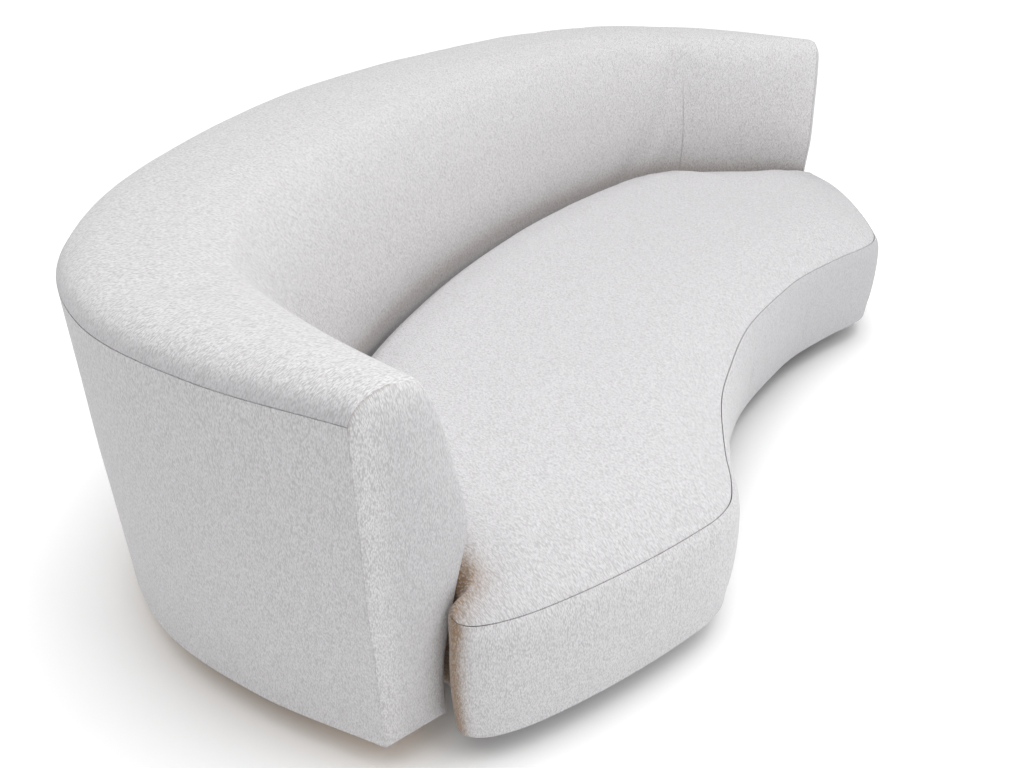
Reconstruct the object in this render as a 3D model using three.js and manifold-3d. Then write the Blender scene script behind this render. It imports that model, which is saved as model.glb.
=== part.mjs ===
// A kidney-shaped sofa with a continuous curved back, built as its real pieces: a timber and
// plywood frame, boards, foam, sewn covers, feet and fixings.
// Millimetres, +Z up, the front faces -Y. The origin is on the floor, under the middle of the sofa.
// In plan, Y is counted from the line of the arms' ends until the finished sofa is centred.

import * as THREE from "three";
import { mergeVertices } from "three/addons/utils/BufferGeometryUtils.js";
import Module from "manifold-3d";

const wasm = await Module();
wasm.setup();

// Overall sizes
const halfLength = 1360; // centre to the outer top seam of an arm
const sofaHeight = 768; // floor to the crown of the back
const backReach = 1103; // arms' ends back to the outer top seam
const seatHalfLength = 1272; // centre to the fullest part of the seat, at the arms' ends
const creviceReach = 561; // arms' ends back to the crevice behind the seat
const lobeReach = 470; // arms' ends forward to the fullest part of the lobes
const hemHeight = 67; // floor to the lower edge of the covers

// Fits
const touchGap = 0.4; // between curved pieces that touch
const seamGap = 1; // between covers at a seam
const holeClearance = 0.4;
const dustThickness = 1.5;
const overrun = 5; // how far a cutter passes through
const ribEase = 8; // a straight rib back from the curved boards
const footEase = 9; // the narrow foot's cover to the board behind it

// Sizes of the seat
const seamHeight = 317; // floor to the seam round the seat's top
const seamInset = 22; // fullest outline of the border in to the seam
const borderTuck = 9; // fullest outline of the border in to its hem
const borderThickness = 20; // cover and wadding of the border
const shoulderShare = 0.28; // of the inset and of the shoulder, where the border turns down
const borderShoulder = 70; // seam down to where the border is fullest
const crownRise = 52; // seam up to the crown of the seat
const crownRoll = 150; // front seam in to where the crown is level
const backRoll = 45; // the same at the crevice
const coverThickness = 6; // cover and wadding over the foam
const deckThickness = 15;
const foamThickness = 182; // deck up to the underside of the crown's cover
const seatGap = 7; // seat to back, the dark crevice
const linerThickness = 3; // fibreboard behind the covers

// Sizes of the back wall
const endWidth = 160; // crevice line to outer seam, at the arms' ends
const topSeamDrop = 49; // crown down to the outer top seam
const crownSetback = 70; // outer top seam in to the crown
const backLean = 122; // how far the inner face leans back at the middle of the sofa
const waistStep = 23; // crevice line out to the narrow foot of the inner face
const waistHeight = 185; // floor to where the narrow foot starts
const outerTuck = 15; // outer seam in to the hem of the outside
const innerCoverThickness = 8; // cover and wadding of the inner face
const outerCoverThickness = 5;
const endCapThickness = 12;
const endCapRound = 6; // rounding of an end cap's rim
const backFoamDepth = 40; // foam between the inner cover and the rib's upper end
const plyThickness = 18;
const topPlateDrop = 84; // crown down to the top plate's upper face

// Sizes of the frame under the seat
const railThickness = 18;
const beamThickness = 45; // cross beams of solid timber
const beamPlaceShares = [-0.66, -0.33, 0, 0.33, 0.66]; // of the seat's half length
const frameInset = borderThickness + linerThickness + 2 * touchGap; // outline in to the rails

// Feet, plates and bolts
const footTopRadius = 30;
const footFootRadius = 24;
const studRadius = 4;
const studLength = 32;
const glideRadius = 17;
const glideHeight = 5;
const plateWidth = 32;
const plateThickness = 3;
const plateBoltInset = 22; // end of a plate in to its bolt
const boltRadius = 3;
const boltLength = 20;
const boltHeadRadius = 6.5;
const boltHeadHeight = 2;

// How finely the curves are cut
const wallSteps = 36;
const frontSteps = 64;
const profileSteps = 17;
const borderSteps = 7;
const turnedSides = 16;
const cornerPasses = 3; // blends of the seat outline's directions

// Plan curves, right half from the centre line, as shares of the reaches above
const topSeamShares = [
  [0, 1], [0.226, 0.974], [0.455, 0.915], [0.674, 0.82], [0.851, 0.665], [0.962, 0.454],
  [1, 0.207], [0.997, -0.045],
];
const creviceShares = [
  [0, 1], [0.256, 0.965], [0.497, 0.873], [0.694, 0.734], [0.79, 0.585], [0.845, 0.352],
  [0.905, 0.06], [0.947, -0.21],
];
const lobeShares = [
  [0, -0.629], [0.187, -0.677], [0.288, -0.726], [0.442, -0.87], [0.519, -0.96], [0.575, -1],
  [0.625, -0.986], [0.672, -0.94], [0.748, -0.85], [0.844, -0.716], [0.93, -0.572], [0.961, -0.504],
  [0.983, -0.44], [0.995, -0.374], [0.994, -0.319], [0.98, -0.279], [0.962, -0.279], [0.947, -0.294],
  [0.938, -0.277], [0.933, -0.223],
];
const jointShare = 0.72; // of the half wall, centre to the upright seam

// Colours
const fabric = { color: 0xe9e7e2, roughness: 0.95, metalness: 0 };
const foam = { color: 0xf1e3b2, roughness: 1, metalness: 0 };
const plywood = { color: 0xc9a877, roughness: 0.7, metalness: 0 };
const timber = { color: 0xd8b98a, roughness: 0.75, metalness: 0 };
const board = { color: 0x8a6a48, roughness: 0.85, metalness: 0 };
const darkCloth = { color: 0x242424, roughness: 1, metalness: 0 };
const steel = { color: 0xb4b7ba, roughness: 0.4, metalness: 1 };
const nylon = { color: 0x2b2b2b, roughness: 0.5, metalness: 0 };
const stainedWood = { color: 0x2a211b, roughness: 0.6, metalness: 0 };

const sofa = new THREE.Group();

// Working shapes

function curveThrough(points, steps, closed = false) {
  const places = points.map(([x, y]) => new THREE.Vector3(x, y, 0));
  return new THREE.CatmullRomCurve3(places, closed, "centripetal").getSpacedPoints(steps);
}

function scaled(shares, xReach, front, back) {
  return shares.map(([x, y]) => [x * xReach, y * (y < 0 ? front : back)]);
}

function bothHalves(rightHalf) {
  const leftHalf = rightHalf.slice(1).map(([x, y]) => [-x, y]);
  return [...leftHalf.reverse(), ...rightHalf];
}

// Inward normals of a closed outline that runs anticlockwise seen from above
function inwardNormals(outline) {
  return outline.map((point, i) => {
    const before = outline[(i + outline.length - 1) % outline.length];
    const along = outline[(i + 1) % outline.length].clone().sub(before);
    return new THREE.Vector3(-along.y, along.x, 0).normalize();
  });
}

// Directions blended with their neighbours', so that offsets keep clear of each other at a corner
function eased(directions, passes) {
  if (passes === 0) return directions;
  const blended = directions.map((here, i) => {
    const before = directions[(i + directions.length - 1) % directions.length];
    const after = directions[(i + 1) % directions.length];
    return here.clone().multiplyScalar(2).add(before).add(after).normalize();
  });
  return eased(blended, passes - 1);
}

// A solid skinned over rings of equal count and closed at both ends. Each patch is split along its
// shorter diagonal, so that pieces lying on each other split alike. The flats are the corners of
// the end rings in their own plane, for cutting the ends into triangles.
function skinned(rings, firstFlat, lastFlat = firstFlat) {
  const triangles = sides(rings, rings.length - 1);
  addEnd(triangles, firstFlat, 0, false);
  addEnd(triangles, lastFlat, (rings.length - 1) * rings[0].length, true);
  return outward(rings.flat(), triangles);
}

// Rings that run right round and meet themselves again
function skinnedRound(rings) {
  return outward(rings.flat(), sides(rings, rings.length));
}

function sides(rings, bays) {
  const count = rings[0].length;
  const points = rings.flat();
  const triangles = [];
  for (let r = 0; r < bays; r++) {
    const beyond = ((r + 1) % rings.length) * count;
    for (let i = 0; i < count; i++) {
      const side = (i + 1) % count;
      const [here, next] = [r * count + i, r * count + side];
      const [hereOn, nextOn] = [beyond + i, beyond + side];
      const rising = points[here].distanceTo(points[nextOn]);
      const falling = points[next].distanceTo(points[hereOn]);
      if (rising < falling) triangles.push(here, next, nextOn, here, nextOn, hereOn);
      else triangles.push(here, next, hereOn, next, nextOn, hereOn);
    }
  }
  return triangles;
}
function addEnd(triangles, flat, offset, withRing) {
  const turned = THREE.ShapeUtils.isClockWise(flat) === withRing;
  for (const [a, b, c] of THREE.ShapeUtils.triangulateShape(flat, [])) {
    triangles.push(offset + a, offset + (turned ? c : b), offset + (turned ? b : c));
  }
}

// Turns every face outwards by the sign of the solid's volume
function outward(points, triangles) {
  let volume = 0;
  for (let t = 0; t < triangles.length; t += 3) {
    const [a, b, c] = [points[triangles[t]], points[triangles[t + 1]], points[triangles[t + 2]]];
    volume += a.dot(b.clone().cross(c));
  }
  if (volume < 0) {
    for (let t = 0; t < triangles.length; t += 3) {
      [triangles[t + 1], triangles[t + 2]] = [triangles[t + 2], triangles[t + 1]];
    }
  }
  const geometry = new THREE.BufferGeometry();
  geometry.setAttribute("position", new THREE.Float32BufferAttribute(points.flatMap((p) => p.toArray()), 3));
  geometry.setIndex(triangles);
  return geometry;
}

function addPiece(name, geometry, finish) {
  const piece = new THREE.Mesh(geometry, new THREE.MeshStandardMaterial(finish));
  piece.name = name;
  sofa.add(piece);
  return piece;
}

// Cutting with holes and notches

function toSolid(geometry) {
  const bare = geometry.clone();
  bare.deleteAttribute("normal");
  bare.deleteAttribute("uv");
  const merged = mergeVertices(bare);
  return new wasm.Manifold(new wasm.Mesh({
    numProp: 3,
    vertProperties: new Float32Array(merged.attributes.position.array),
    triVerts: new Uint32Array(merged.index.array),
  }));
}

function fromSolid(solid) {
  const mesh = solid.getMesh();
  const geometry = new THREE.BufferGeometry();
  geometry.setAttribute("position", new THREE.BufferAttribute(new Float32Array(mesh.vertProperties), 3));
  geometry.setIndex(new THREE.BufferAttribute(new Uint32Array(mesh.triVerts), 1));
  return geometry;
}

function cut(geometry, cutters) {
  return fromSolid(cutters.reduce((solid, cutter) => solid.subtract(toSolid(cutter)), toSolid(geometry)));
}

function uprightRod(radius, bottom, top, x, y) {
  const rod = new THREE.CylinderGeometry(radius, radius, top - bottom, turnedSides);
  return rod.rotateX(Math.PI / 2).translate(x, y, (bottom + top) / 2);
}

function turned(profile, x, y) {
  const points = profile.map(([radius, z]) => new THREE.Vector2(radius, z));
  return new THREE.LatheGeometry(points, turnedSides).rotateX(Math.PI / 2).translate(x, y, 0);
}

// The back wall's stations: matching places on the crevice line and on the outer top seam

const creviceCurve = bothHalves(scaled(creviceShares, seatHalfLength, creviceReach, creviceReach));
const topSeamCurve = bothHalves(scaled(topSeamShares, halfLength, backReach, backReach));
const creviceLine = curveThrough(creviceCurve, wallSteps);
const topSeamLine = curveThrough(topSeamCurve, wallSteps);
const stations = creviceLine.map((inner, i) => {
  const across = topSeamLine[i].clone().sub(inner);
  const width = across.length();
  return { inner, width, across: across.normalize() };
});
const middleStation = wallSteps / 2;
const jointStep = Math.round(jointShare * middleStation);
const leftJoint = middleStation - jointStep;
const rightJoint = middleStation + jointStep;

function wallPoint(station, [w, z]) {
  return station.inner.clone().addScaledVector(station.across, w).setZ(z);
}

// The upright outline of the wall's inner face and crown, from the hem to the outer top seam: how
// far each corner lies out from the crevice line at the arms' ends, its share of the lean, and
// its height as a share of the sofa's
const faceCorners = [
  [5, 0, 0.371],
  [-13, 0.04, 0.486],
  [-23, 0.22, 0.579],
  [-21, 0.45, 0.677],
  [-8, 0.7, 0.796],
  [5, 0.86, 0.866],
  [22, 1, 0.931],
  [46, 1.12, 0.98],
  [84, 1.3, 0.997],
];
const middleWidth = backReach - creviceReach;

function leanAt(width) {
  return backLean * ((width - endWidth) / (middleWidth - endWidth)) ** 2;
}

function innerOutline(width) {
  const corners = [
    [waistStep, hemHeight],
    [waistStep, waistHeight],
    ...faceCorners.map(([step, share, height]) => [step + share * leanAt(width), height * sofaHeight]),
    [width - crownSetback, sofaHeight],
    [width, sofaHeight - topSeamDrop],
  ];
  return curveThrough(corners, profileSteps).map((p) => [p.x, p.y]);
}

function outerOutline(width) {
  return [
    [width, sofaHeight - topSeamDrop],
    [width - outerTuck / 3, sofaHeight / 2],
    [width - outerTuck, hemHeight],
  ];
}

// Moves an open line sideways, to its right as it runs
function besides(line, distance) {
  return line.map(([w, z], i) => {
    const [w0, z0] = line[Math.max(i - 1, 0)];
    const [w1, z1] = line[Math.min(i + 1, line.length - 1)];
    const size = Math.hypot(w1 - w0, z1 - z0);
    return [w + ((z1 - z0) / size) * distance, z - ((w1 - w0) / size) * distance];
  });
}

function wallPiece(loopAt, from, to) {
  const used = stations.slice(from, to + 1);
  const flat = (station) => loopAt(station.width).map(([w, z]) => new THREE.Vector2(w, z));
  const rings = used.map((station) => loopAt(station.width).map((corner) => wallPoint(station, corner)));
  return skinned(rings, flat(used[0]), flat(used[used.length - 1]));
}

// Covers of the back wall

function innerCoverLoop(width) {
  const outside = innerOutline(width);
  const inside = besides(outside, innerCoverThickness).map(([w, z]) => [w, Math.max(z, hemHeight)]);
  return [...outside, ...inside.reverse()];
}

function outerCoverLoop(width) {
  const outside = outerOutline(width).map(([w, z], i) => [w, i === 0 ? z - seamGap : z]);
  const inside = besides(outside, outerCoverThickness).reverse();
  inside[inside.length - 1][1] -= innerCoverThickness;
  return [...outside, ...inside];
}

const wallParts = [
  ["left_arm", 0, leftJoint],
  ["centre", leftJoint, rightJoint],
  ["right_arm", rightJoint, wallSteps],
];

function addWallCovers() {
  for (const [place, from, to] of wallParts) {
    addPiece(`inner_cover_${place}`, wallPiece(innerCoverLoop, from, to), fabric);
    addPiece(`outer_cover_${place}`, wallPiece(outerCoverLoop, from, to), fabric);
  }
}

// Boards and plates of the wall's frame. The rib line is the inner edge of the plywood ribs.

const ribStep = waistStep + innerCoverThickness + footEase + linerThickness + touchGap;
const bendHeight = seamHeight + innerCoverThickness;
const topPlateTop = sofaHeight - topPlateDrop;
const ribTop = topPlateTop - plyThickness;
const frameBottom = hemHeight;
const ribBottom = frameBottom + plyThickness;
const ribTopStep = waistStep + innerCoverThickness + backFoamDepth - waistStep / 2;
const boardBack = outerCoverThickness + touchGap;

function ribInner(width) {
  return [[ribStep, ribBottom], [ribStep, bendHeight], [ribTopStep + leanAt(width), ribTop]];
}

function ribOuter(width) {
  const outer = besides(outerOutline(width), boardBack + linerThickness + touchGap);
  const [, [midW, midZ], [footW, footZ]] = outer;
  const slope = (midW - footW) / (midZ - footZ);
  return [ribTop, ribBottom].map((z) => [footW + slope * (Math.min(z, midZ) - footZ), z]);
}

function innerBoardLoop(width) {
  const inside = ribInner(width).map(([w, z]) => [w - touchGap, z]);
  const outside = inside.map(([w, z]) => [w - linerThickness, z]);
  return [...outside, ...inside.reverse()];
}

function outerBoardLoop(width) {
  const outside = ribOuter(width).map(([w, z]) => [w + linerThickness + touchGap, z]);
  return [...outside, ...ribOuter(width).map(([w, z]) => [w + touchGap, z]).reverse()];
}

function plateLoop(z) {
  return (width) => {
    const inner = z < sofaHeight / 2 ? ribStep : ribInner(width)[2][0];
    const outer = z < sofaHeight / 2 ? ribOuter(width)[1][0] : ribOuter(width)[0][0];
    return [[inner, z], [outer, z], [outer, z + plyThickness], [inner, z + plyThickness]];
  };
}

// The foam lies between the cover and the inner board, and over the top plate
function backFoamLoop(width) {
  const outline = besides(innerOutline(width), innerCoverThickness + touchGap);
  outline[0][1] = hemHeight;
  const [plateInner, plateOuter] = [ribInner(width)[2][0], ribOuter(width)[0][0]];
  return [
    ...outline,
    [plateOuter, outline[outline.length - 1][1] - plyThickness],
    [plateOuter, topPlateTop + touchGap],
    [plateInner - linerThickness - 2 * touchGap, topPlateTop + touchGap],
    [plateInner - linerThickness - 2 * touchGap, ribTop],
    [ribStep - linerThickness - 2 * touchGap, bendHeight],
    [ribStep - linerThickness - 2 * touchGap, hemHeight],
  ];
}

function addWallFrame() {
  for (const [place, from, to] of wallParts) {
    addPiece(`back_foam_${place}`, wallPiece(backFoamLoop, from, to), foam);
  }
  addPiece("inner_board", wallPiece(innerBoardLoop, 0, wallSteps), board);
  addPiece("outer_board", wallPiece(outerBoardLoop, 0, wallSteps), board);
  addPiece("back_top_plate", wallPiece(plateLoop(ribTop), 0, wallSteps), plywood);
  const basePlate = wallPiece(plateLoop(frameBottom), 0, wallSteps);
  addPiece("back_base_plate", cut(basePlate, [...backFeet.map(studHole), ...plateHoles]), plywood);
}

// A rib is a plywood board across the wall, half its thickness each side of its station
const halfJoint = Math.round(jointStep / 2);
const ribStations = [
  0, leftJoint, middleStation - halfJoint, middleStation, middleStation + halfJoint, rightJoint, wallSteps,
];

function facing(station) {
  return new THREE.Vector3(-station.across.y, station.across.x, 0);
}

// The way from an end station towards the middle of the wall, or nothing at the others
function towardsMiddle(index) {
  const station = stations[index];
  if (index !== 0 && index !== wallSteps) return new THREE.Vector3();
  const neighbour = stations[index === 0 ? 1 : index - 1];
  return neighbour.inner.clone().sub(station.inner).projectOnVector(facing(station)).normalize();
}

function ribGeometry(index) {
  const station = stations[index];
  const loop = [
    ...ribInner(station.width).map(([w, z]) => [w + ribEase, z]),
    ...ribOuter(station.width).map(([w, z]) => [w - ribEase, z]),
  ];
  const rings = [-plyThickness / 2, plyThickness / 2].map((side) =>
    loop.map((corner) => wallPoint(station, corner).addScaledVector(facing(station), side)));
  const inward = towardsMiddle(index).multiplyScalar(plyThickness / 2);
  return skinned(rings, loop.map(([w, z]) => new THREE.Vector2(w, z))).translate(inward.x, inward.y, 0);
}

function addRibs() {
  ribStations.forEach((index, i) => addPiece(`back_rib_${i + 1}`, ribGeometry(index), plywood));
}

// End caps close the two ends of the wall

function endCap(index) {
  const station = stations[index];
  const away = towardsMiddle(index).negate();
  const outline = [...innerOutline(station.width), ...outerOutline(station.width).slice(1)];
  const narrowed = besides(outline, endCapRound);
  const ring = (loop, reach) => loop.map((corner) => wallPoint(station, corner).addScaledVector(away, reach));
  const rings = [
    ring(outline, touchGap),
    ring(outline, endCapThickness - endCapRound),
    ring(narrowed, endCapThickness),
  ];
  const flat = (loop) => loop.map(([w, z]) => new THREE.Vector2(w, z));
  return skinned(rings, flat(outline), flat(narrowed));
}

function addEndCaps() {
  addPiece("end_cap_left", endCap(0), fabric);
  addPiece("end_cap_right", endCap(wallSteps), fabric);
}

// The seat's outline runs anticlockwise from the left arm's end: round the lobes, then along the
// crevice from right to left

const seatBack = creviceLine.slice(1, wallSteps).map((inner, i) => {
  const along = creviceLine[i + 2].clone().sub(creviceLine[i]).setLength(seatGap);
  return new THREE.Vector3(inner.x + along.y, inner.y - along.x, 0);
});
const lobeCurve = bothHalves(scaled(lobeShares, seatHalfLength, lobeReach, creviceReach));
const lobeEnds = [seatBack[0], seatBack[seatBack.length - 1]].map((p) => [p.x, p.y]);
const seatFront = curveThrough([lobeEnds[0], ...lobeCurve, lobeEnds[1]], frontSteps);
const seatOutline = [...seatFront, ...seatBack.slice(1, -1).reverse()];
const seatNormals = eased(inwardNormals(seatOutline), cornerPasses);

function seatRing(inset, z) {
  return seatOutline.map((p, i) => p.clone().addScaledVector(seatNormals[i], inset).setZ(z));
}

function planFlat(ring) {
  return ring.map((p) => new THREE.Vector2(p.x, p.y));
}

// The crown closes in on a spine, the line that runs along the middle of the seat
const spineShare = 0.62; // of the seat's half length
const spineDepthShare = 0.5; // crevice forward to the spine, of the seat's depth
const crownInsets = [0, 12, 28]; // the outer rings, in from the seam
const crownShares = [0.1, 0.26, 0.56]; // the inner rings, of the way to the spine

function spinePoint(p) {
  const x = p.x * spineShare;
  const front = nearestY(seatFront, x);
  const back = nearestY(seatBack, x);
  return new THREE.Vector3(x, back + (front - back) * spineDepthShare, 0);
}

function nearestY(line, x) {
  return line.reduce((best, p) => (Math.abs(p.x - x) < Math.abs(best.x - x) ? p : best)).y;
}

function distanceTo(line, p) {
  let least = Infinity;
  line.slice(1).forEach((b, i) => {
    const a = line[i];
    const [dx, dy] = [b.x - a.x, b.y - a.y];
    const along = THREE.MathUtils.clamp(((p.x - a.x) * dx + (p.y - a.y) * dy) / (dx * dx + dy * dy), 0, 1);
    least = Math.min(least, Math.hypot(p.x - a.x - dx * along, p.y - a.y - dy * along));
  });
  return least;
}

const crownPower = 2.2;
const seamRing = seatRing(seamInset, seamHeight);
const tip = seamRing.reduce((best, p, i) => (p.x < seamRing[best].x ? i : best), 0);
const frontSeam = seamRing.slice(tip, frontSteps - tip + 1);
const backSeam = [...seamRing.slice(frontSteps - tip), ...seamRing.slice(0, tip + 1)];

function crownHeight(p) {
  const inward = Math.min(distanceTo(frontSeam, p) / crownRoll, distanceTo(backSeam, p) / backRoll, 1);
  return seamHeight + crownRise * (1 - (1 - inward) ** crownPower);
}

function raised(ring) {
  return ring.map((p) => p.clone().setZ(crownHeight(p)));
}

const outerRings = crownInsets.map((inset) => seatRing(seamInset + inset, 0));
const lastOuterRing = outerRings[outerRings.length - 1];
const innerRings = crownShares.map((share) => lastOuterRing.map((p) => p.clone().lerp(spinePoint(p), share)));
const crownRings = [...outerRings, ...innerRings].map(raised);

function lowered(ring, drop) {
  return ring.map((p) => p.clone().setZ(p.z - drop));
}

function seatCoverGeometry() {
  const under = crownRings.map((ring) => lowered(ring, coverThickness)).reverse();
  const inmost = planFlat(crownRings[crownRings.length - 1]);
  return skinned([...under, ...crownRings], inmost);
}

const underCover = seamHeight - coverThickness - seamGap;
const crownFoamTop = coverThickness + touchGap;
const deckTop = seamHeight + crownRise - crownFoamTop - foamThickness;
const railTop = deckTop - deckThickness;
const foamInset = borderThickness + touchGap;

function seatFoamGeometry() {
  const bottom = seatRing(foamInset, deckTop);
  const shoulder = seatRing(foamInset, underCover - borderShoulder * shoulderShare);
  const crown = crownRings.map((ring) => lowered(ring, crownFoamTop + 2 * touchGap));
  crown[0] = seatRing(seamInset + coverThickness / 2, crown[0][0].z - coverThickness / 2);
  return skinned([bottom, shoulder, ...crown], planFlat(bottom), planFlat(crown[crown.length - 1]));
}

// A band follows the outline, from one of its places to another or right round
function bandRings(loop, from, to) {
  const rings = [];
  for (let i = from; i <= to; i++) {
    const [place, inward] = [seatOutline, seatNormals].map((list) => list[i % list.length]);
    rings.push(loop.map(([inset, z]) => place.clone().addScaledVector(inward, inset).setZ(z)));
  }
  return rings;
}

function bandRound(loop) {
  return skinnedRound(bandRings(loop, 0, seatOutline.length - 1));
}

function bandPiece(loop, from, to) {
  return skinned(bandRings(loop, from, to), loop.map(([inset, z]) => new THREE.Vector2(inset, z)));
}

function borderLoop() {
  const face = curveThrough([
    [seamInset - seamGap, seamHeight],
    [seamInset * shoulderShare, seamHeight - borderShoulder * shoulderShare],
    [0, seamHeight - borderShoulder],
    [0, (seamHeight + hemHeight) / 2 - borderShoulder / 2],
    [borderTuck, hemHeight],
  ], borderSteps).map((p) => [p.x, p.y]);
  return [
    ...face,
    [borderThickness, hemHeight],
    [borderThickness, underCover - borderShoulder * shoulderShare],
    [seamInset - seamGap, underCover],
  ];
}

function borderBoardLoop() {
  const [outer, inner] = [foamInset, foamInset + linerThickness];
  const top = deckTop - touchGap;
  return [[outer, top], [outer, frameBottom], [inner, frameBottom], [inner, top]];
}

// The seat's frame is plywood rails bent round inside the border's board

function frameRing(inset, z) {
  return seatRing(frameInset + inset, z);
}

function railGeometry(from, to) {
  const [outer, inner] = [frameInset, frameInset + railThickness];
  const loop = [[outer, frameBottom], [inner, frameBottom], [inner, railTop], [outer, railTop]];
  return bandPiece(loop, from, to);
}

function deckGeometry() {
  const ring = frameRing(0, railTop);
  return skinned([ring, frameRing(0, deckTop)], planFlat(ring));
}

// Where a line across the sofa at x meets the inside of the rails
function railMeets(x) {
  const inside = frameRing(railThickness + touchGap, 0);
  const crossings = [];
  inside.forEach((a, i) => {
    const b = inside[(i + 1) % inside.length];
    if ((a.x - x) * (b.x - x) < 0) crossings.push(a.y + ((b.y - a.y) * (x - a.x)) / (b.x - a.x));
  });
  return [Math.min(...crossings), Math.max(...crossings)];
}

function beamReach(x) {
  const meets = [x - beamThickness / 2, x, x + beamThickness / 2].map(railMeets);
  return [Math.max(...meets.map(([front]) => front)), Math.min(...meets.map(([, back]) => back))];
}

function beamGeometry(x) {
  const [front, back] = beamReach(x);
  return new THREE.BoxGeometry(beamThickness, back - front, railTop - frameBottom)
    .translate(x, (front + back) / 2, (railTop + frameBottom) / 2);
}

// Feet: three under the front of the seat's beams, and three under the back wall

const beamPlaces = beamPlaceShares.map((share) => share * seatHalfLength);
const footSetback = 70; // rail in to a front foot's centre
const footBeams = [beamPlaces[0], beamPlaces[2], beamPlaces[4]];
const frontFeet = footBeams.map((x) => [x, beamReach(x)[0] + footSetback]);
const backFeet = [3, middleStation, wallSteps - 3].map((index) => {
  const station = stations[index];
  const middle = (ribStep + ribOuter(station.width)[1][0]) / 2;
  const place = wallPoint(station, [middle, 0]);
  return [place.x, place.y];
});

function studHole([x, y]) {
  const top = frameBottom + studLength + holeClearance;
  return uprightRod(studRadius + holeClearance, frameBottom - overrun, top, x, y);
}

function footProfile() {
  return [
    [0, glideHeight], [footFootRadius, glideHeight], [footTopRadius, frameBottom],
    [studRadius, frameBottom], [studRadius, frameBottom + studHeight], [0, frameBottom + studHeight],
  ];
}
const studHeight = plyThickness - 2;

function glideProfile() {
  return [[0, 0], [glideRadius, 0], [glideRadius, glideHeight], [0, glideHeight]];
}

function addFeet() {
  [...frontFeet, ...backFeet].forEach(([x, y], i) => {
    addPiece(`foot_${i + 1}`, turned(footProfile(), x, y), stainedWood);
    addPiece(`glide_${i + 1}`, turned(glideProfile(), x, y), nylon);
  });
}

// Joining plates tie the seat's rear rail to the back wall's base plate, from below

const joinShares = [-0.5, -0.22, 0.22, 0.5]; // of the half wall, from its middle
const joinSteps = joinShares.map((share) => middleStation + Math.round(share * middleStation));
const joinPlaces = joinSteps.map((step) => {
  const station = stations[step];
  const inRail = -seatGap - frameInset - railThickness / 2;
  const inPlate = ribStep + plateBoltInset;
  return { station, seatBolt: wallPoint(station, [inRail, 0]), backBolt: wallPoint(station, [inPlate, 0]) };
});
const railHoles = joinPlaces.map(({ seatBolt }) => boltHole(seatBolt));
const plateHoles = joinPlaces.map(({ backBolt }) => boltHole(backBolt));

function boltHole({ x, y }) {
  const bottom = frameBottom - plateThickness - overrun;
  return uprightRod(boltRadius + holeClearance, bottom, frameBottom + boltLength, x, y);
}

function plateBlank({ station, seatBolt, backBolt }, extra, height) {
  const span = seatBolt.distanceTo(backBolt) + 2 * (plateBoltInset + extra);
  const middle = seatBolt.clone().lerp(backBolt, 1 / 2);
  return new THREE.BoxGeometry(span, plateWidth + 2 * extra, height)
    .rotateZ(Math.atan2(station.across.y, station.across.x))
    .translate(middle.x, middle.y, frameBottom - height / 2);
}

function boltProfile() {
  const under = frameBottom - plateThickness;
  const tip = frameBottom + boltLength - plateThickness;
  return [
    [0, under - boltHeadHeight], [boltHeadRadius, under - boltHeadHeight], [boltHeadRadius, under],
    [boltRadius, under], [boltRadius, tip], [0, tip],
  ];
}

function addJoiningPlates() {
  joinPlaces.forEach((place, i) => {
    const { seatBolt, backBolt } = place;
    const plate = cut(plateBlank(place, 0, plateThickness), [boltHole(seatBolt), boltHole(backBolt)]);
    addPiece(`joining_plate_${i + 1}`, plate, steel);
    addPiece(`plate_bolt_seat_${i + 1}`, turned(boltProfile(), seatBolt.x, seatBolt.y), steel);
    addPiece(`plate_bolt_back_${i + 1}`, turned(boltProfile(), backBolt.x, backBolt.y), steel);
  });
}

// The seat

function addSeat() {
  addPiece("seat_cover", seatCoverGeometry(), fabric);
  addPiece("seat_border", bandPiece(borderLoop(), 0, frontSteps), fabric);
  addPiece("seat_border_back", bandPiece(borderLoop(), frontSteps, seatOutline.length), fabric);
  addPiece("border_board", bandRound(borderBoardLoop()), board);
  addPiece("seat_foam", seatFoamGeometry(), foam);
  addPiece("seat_deck", deckGeometry(), plywood);
  addPiece("front_rail", railGeometry(0, frontSteps), plywood);
  addPiece("rear_rail", cut(railGeometry(frontSteps, seatOutline.length), railHoles), plywood);
  beamPlaces.forEach((x, i) => {
    addPiece(`cross_beam_${i + 1}`, cut(beamGeometry(x), frontFeet.map(studHole)), timber);
  });
  addPiece("dust_cover", dustCoverGeometry(), darkCloth);
}

// The dust cover is a thin sheet under the seat's frame, with openings for the feet and plates
function dustCoverGeometry() {
  const sheet = frameRing(touchGap, frameBottom);
  const blank = skinned([lowered(sheet, dustThickness), sheet], planFlat(sheet));
  const footHoles = frontFeet.map(([x, y]) =>
    uprightRod(footTopRadius + holeClearance, frameBottom - overrun, frameBottom + overrun, x, y));
  const notches = joinPlaces.map((place) => plateBlank(place, 2 * holeClearance, plateThickness + overrun));
  return cut(blank, [...footHoles, ...notches]);
}

addSeat();
addWallCovers();
addEndCaps();
addWallFrame();
addRibs();
addJoiningPlates();
addFeet();

// The sofa is centred from front to back
const frontmost = Math.min(...seatOutline.map((p) => p.y));
const rearmost = Math.max(...topSeamLine.map((p) => p.y));
sofa.position.y = -(frontmost + rearmost) / 2;

export default sofa;
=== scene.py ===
"""A kidney-shaped sofa with one curved back: its sewn covers, padding, seams and finishes, laid over the
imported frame, with a plain floor and soft light. Metres, +Z up, the front faces -Y."""

import math

import bmesh
import bpy
import numpy as np
from mathutils import Matrix, Vector, noise


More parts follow.
